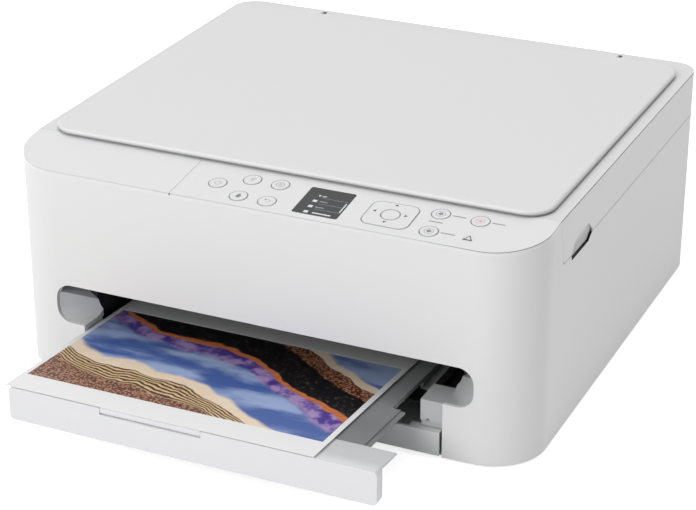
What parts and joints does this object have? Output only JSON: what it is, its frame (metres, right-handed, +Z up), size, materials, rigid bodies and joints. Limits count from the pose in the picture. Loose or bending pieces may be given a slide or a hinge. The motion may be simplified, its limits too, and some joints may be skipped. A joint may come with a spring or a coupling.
{
  "type": "multifunction printer",
  "caption": "Desktop multifunction inkjet printer with flatbed scanner, sloping control strip, pulled-out output tray holding a printed sheet, and front paper cassette.",
  "frame": {"origin": "centre of the object's footprint with the output tray pulled out as shown, on the desk plane", "axes": "+X to the right as seen from the front, +Y from the front towards the back, +Z up"},
  "size_m": [0.372, 0.451, 0.161],
  "materials": {
    "white_shell": "fine satin",
    "white_gloss": "soft gloss",
    "light_grey_plastic": "satin",
    "mid_grey_plastic": "fine grain",
    "dark_plastic": "fine grain",
    "key_white": "satin",
    "screen": "glossy",
    "lamp": "clear satin",
    "steel": "bright",
    "sheet_steel": "zinc plated",
    "roller_rubber": "matt",
    "foot_rubber": "matt",
    "gear_plastic": "satin",
    "board": "solder mask",
    "tank_black": "glossy",
    "tank_colour": "glossy",
    "belt_rubber": "matt",
    "clear_glass": "polished",
    "paper": "coated paper",
    "foam": "white foam",
    "supply_case": "satin"
  },
  "bodies": {
    "base": {"outer_case": "white_shell", "rear_panel": "light_grey_plastic", "bottom_plate": "mid_grey_plastic", "rubber_feet": "foot_rubber", "strip_cover": "white_gloss", "operation_panel": "white_gloss", "panel_board": "board", "display_screen": "screen", "alarm_lamp": "lamp", "slot_liner": "light_grey_plastic", "exit_chute": "dark_plastic", "inner_deck": "mid_grey_plastic", "chassis": "sheet_steel", "carriage_rail": "steel", "feed_motor": "steel", "carriage_motor": "steel", "platen": "dark_plastic", "maintenance_station": "mid_grey_plastic", "main_board": "board", "power_supply": "supply_case", "power_inlet": "dark_plastic", "carriage_belt": "belt_rubber"},
    "scanner_unit": {"scanner_housing": "white_shell", "platen_glass": "clear_glass", "scan_rail": "steel"},
    "scan_head_unit": {"scan_head": "dark_plastic"},
    "lid": {"document_lid": "white_shell", "lid_pad": "foam"},
    "tray": {"tray_lip": "white_shell", "tray_floor": "mid_grey_plastic", "printed_sheet": "paper"},
    "stop_flap": {"paper_stop": "white_shell"},
    "cassette_unit": {"cassette": "light_grey_plastic"},
    "left_guide": {"left_paper_guide": "mid_grey_plastic"},
    "right_guide": {"right_paper_guide": "mid_grey_plastic"},
    "guide_gear": {"guide_pinion": "gear_plastic"},
    "rear_guide": {"rear_paper_guide": "mid_grey_plastic"},
    "carriage_unit": {"carriage": "dark_plastic", "pigment_black_tank": "tank_black", "colour_tanks": "tank_colour"},
    "drive_pulley_unit": {"drive_pulley": "gear_plastic"},
    "idler_pulley_unit": {"idler_pulley": "gear_plastic"},
    "feed_roller_unit": {"feed_roller": "roller_rubber"},
    "exit_roller_unit": {"exit_roller": "roller_rubber"},
    "idler_unit": {"idler_gear": "gear_plastic"},
    "pinion_unit": {"motor_pinion": "steel"},
    "pickup_arm_unit": {"pickup_arm": "dark_plastic"},
    "pickup_roller_unit": {"pickup_roller": "roller_rubber"},
    "power_key": {"power_button": "key_white"},
    "wireless_key": {"wireless_button": "key_white"},
    "info_key": {"info_button": "key_white"},
    "home_key": {"home_button": "key_white"},
    "back_key": {"back_button": "key_white"},
    "black_start_key": {"black_start_button": "key_white"},
    "colour_start_key": {"colour_start_button": "key_white"},
    "stop_key": {"stop_button": "key_white"},
    "direction_pad": {"direction_pad": "key_white"},
    "ok_key": {"ok_button": "key_white"}
  },
  "joints": [
    {"name": "scanner_hinge", "type": "hinge", "parent": "base", "child": "scanner_unit", "pos_m": [0, 0.218, 0.13112], "axis": [-1, 0, 0], "range_deg": [0, 45]},
    {"name": "lid_hinge", "type": "hinge", "parent": "scanner_unit", "child": "lid", "pos_m": [0, 0.216, 0.1548], "axis": [-1, 0, 0], "range_deg": [0, 95]},
    {"name": "scan_head_slide", "type": "slide", "parent": "scanner_unit", "child": "scan_head_unit", "axis": [1, 0, 0], "range_m": [0, 0.28]},
    {"name": "tray_slide", "type": "slide", "parent": "base", "child": "tray", "axis": [0, 1, 0], "range_m": [0, 0.0917]},
    {"name": "stop_flap_hinge", "type": "hinge", "parent": "tray", "child": "stop_flap", "pos_m": [-0.0255, -0.2228, 0.04112], "axis": [1, 0, 0], "range_deg": [0, 90]},
    {"name": "cassette_slide", "type": "slide", "parent": "base", "child": "cassette_unit", "axis": [0, -1, 0], "range_m": [0, 0.25]},
    {"name": "left_guide_slide", "type": "slide", "parent": "cassette_unit", "child": "left_guide", "axis": [1, 0, 0], "range_m": [0, 0.04]},
    {"name": "right_guide_slide", "type": "slide", "parent": "cassette_unit", "child": "right_guide", "axis": [-1, 0, 0], "range_m": [0, 0.04]},
    {"name": "guide_pinion_turn", "type": "hinge", "parent": "cassette_unit", "child": "guide_gear", "pos_m": [0, 0.0295, 0.0076], "axis": [0, 0, 1], "range_deg": [-390, 390]},
    {"name": "rear_guide_slide", "type": "slide", "parent": "cassette_unit", "child": "rear_guide", "axis": [0, -1, 0], "range_m": [0, 0.06]},
    {"name": "carriage_slide", "type": "slide", "parent": "base", "child": "carriage_unit", "axis": [-1, 0, 0], "range_m": [0, 0.264]},
    {"name": "drive_pulley_turn", "type": "hinge", "parent": "base", "child": "drive_pulley_unit", "pos_m": [0.155, 0.086, 0.1], "axis": [0, 1, 0], "range_deg": [-2600, 2600]},
    {"name": "idler_pulley_turn", "type": "hinge", "parent": "base", "child": "idler_pulley_unit", "pos_m": [-0.155, 0.086, 0.1], "axis": [0, 1, 0], "range_deg": [-2600, 2600]},
    {"name": "feed_roller_turn", "type": "hinge", "parent": "base", "child": "feed_roller_unit", "pos_m": [0, 0.075, 0.045], "axis": [1, 0, 0], "continuous": true},
    {"name": "idler_gear_turn", "type": "hinge", "parent": "base", "child": "idler_unit", "pos_m": [-0.1785, 0.0255, 0.045], "axis": [1, 0, 0], "continuous": true},
    {"name": "exit_roller_turn", "type": "hinge", "parent": "base", "child": "exit_roller_unit", "pos_m": [0, -0.018, 0.045], "axis": [1, 0, 0], "continuous": true},
    {"name": "motor_pinion_turn", "type": "hinge", "parent": "base", "child": "pinion_unit", "pos_m": [-0.1785, 0.09197, 0.06197], "axis": [1, 0, 0], "continuous": true},
    {"name": "pickup_arm_hinge", "type": "hinge", "parent": "base", "child": "pickup_arm_unit", "pos_m": [0, 0.134, 0.036], "axis": [-1, 0, 0], "range_deg": [0, 12]},
    {"name": "pickup_roller_turn", "type": "hinge", "parent": "pickup_arm_unit", "child": "pickup_roller_unit", "pos_m": [0, 0.094, 0.017], "axis": [1, 0, 0], "continuous": true},
    {"name": "power_press", "type": "slide", "parent": "base", "child": "power_key", "axis": [0, 0.1281, -0.9918], "range_m": [0, 0.0008], "stiffness_N_per_m": 300, "springref_m": -0.0005},
    {"name": "wireless_press", "type": "slide", "parent": "base", "child": "wireless_key", "axis": [0, 0.1281, -0.9918], "range_m": [0, 0.0008], "stiffness_N_per_m": 300, "springref_m": -0.0005},
    {"name": "info_press", "type": "slide", "parent": "base", "child": "info_key", "axis": [0, 0.1281, -0.9918], "range_m": [0, 0.0008], "stiffness_N_per_m": 300, "springref_m": -0.0005},
    {"name": "home_press", "type": "slide", "parent": "base", "child": "home_key", "axis": [0, 0.1281, -0.9918], "range_m": [0, 0.0008], "stiffness_N_per_m": 300, "springref_m": -0.0005},
    {"name": "back_press", "type": "slide", "parent": "base", "child": "back_key", "axis": [0, 0.1281, -0.9918], "range_m": [0, 0.0008], "stiffness_N_per_m": 300, "springref_m": -0.0005},
    {"name": "black_start_press", "type": "slide", "parent": "base", "child": "black_start_key", "axis": [0, 0.1281, -0.9918], "range_m": [0, 0.0008], "stiffness_N_per_m": 300, "springref_m": -0.0005},
    {"name": "colour_start_press", "type": "slide", "parent": "base", "child": "colour_start_key", "axis": [0, 0.1281, -0.9918], "range_m": [0, 0.0008], "stiffness_N_per_m": 300, "springref_m": -0.0005},
    {"name": "stop_press", "type": "slide", "parent": "base", "child": "stop_key", "axis": [0, 0.1281, -0.9918], "range_m": [0, 0.0008], "stiffness_N_per_m": 300, "springref_m": -0.0005},
    {"name": "direction_pad_press", "type": "slide", "parent": "base", "child": "direction_pad", "axis": [0, 0.1281, -0.9918], "range_m": [0, 0.0006], "stiffness_N_per_m": 400, "springref_m": -0.00038},
    {"name": "ok_press", "type": "slide", "parent": "base", "child": "ok_key", "axis": [0, 0.1281, -0.9918], "range_m": [0, 0.0008], "stiffness_N_per_m": 300, "springref_m": -0.0005}
  ],
  "couplings": [
    {"joint": "right_guide_slide", "follows": "left_guide_slide", "ratio": 1},
    {"joint": "guide_pinion_turn", "follows": "left_guide_slide", "rad_per_m": -166.67},
    {"joint": "drive_pulley_turn", "follows": "carriage_slide", "rad_per_m": 142.86},
    {"joint": "idler_pulley_turn", "follows": "carriage_slide", "rad_per_m": 142.86},
    {"joint": "idler_gear_turn", "follows": "feed_roller_turn", "ratio": -0.57143},
    {"joint": "exit_roller_turn", "follows": "feed_roller_turn", "ratio": 1.5},
    {"joint": "motor_pinion_turn", "follows": "feed_roller_turn", "ratio": -3}
  ]
}
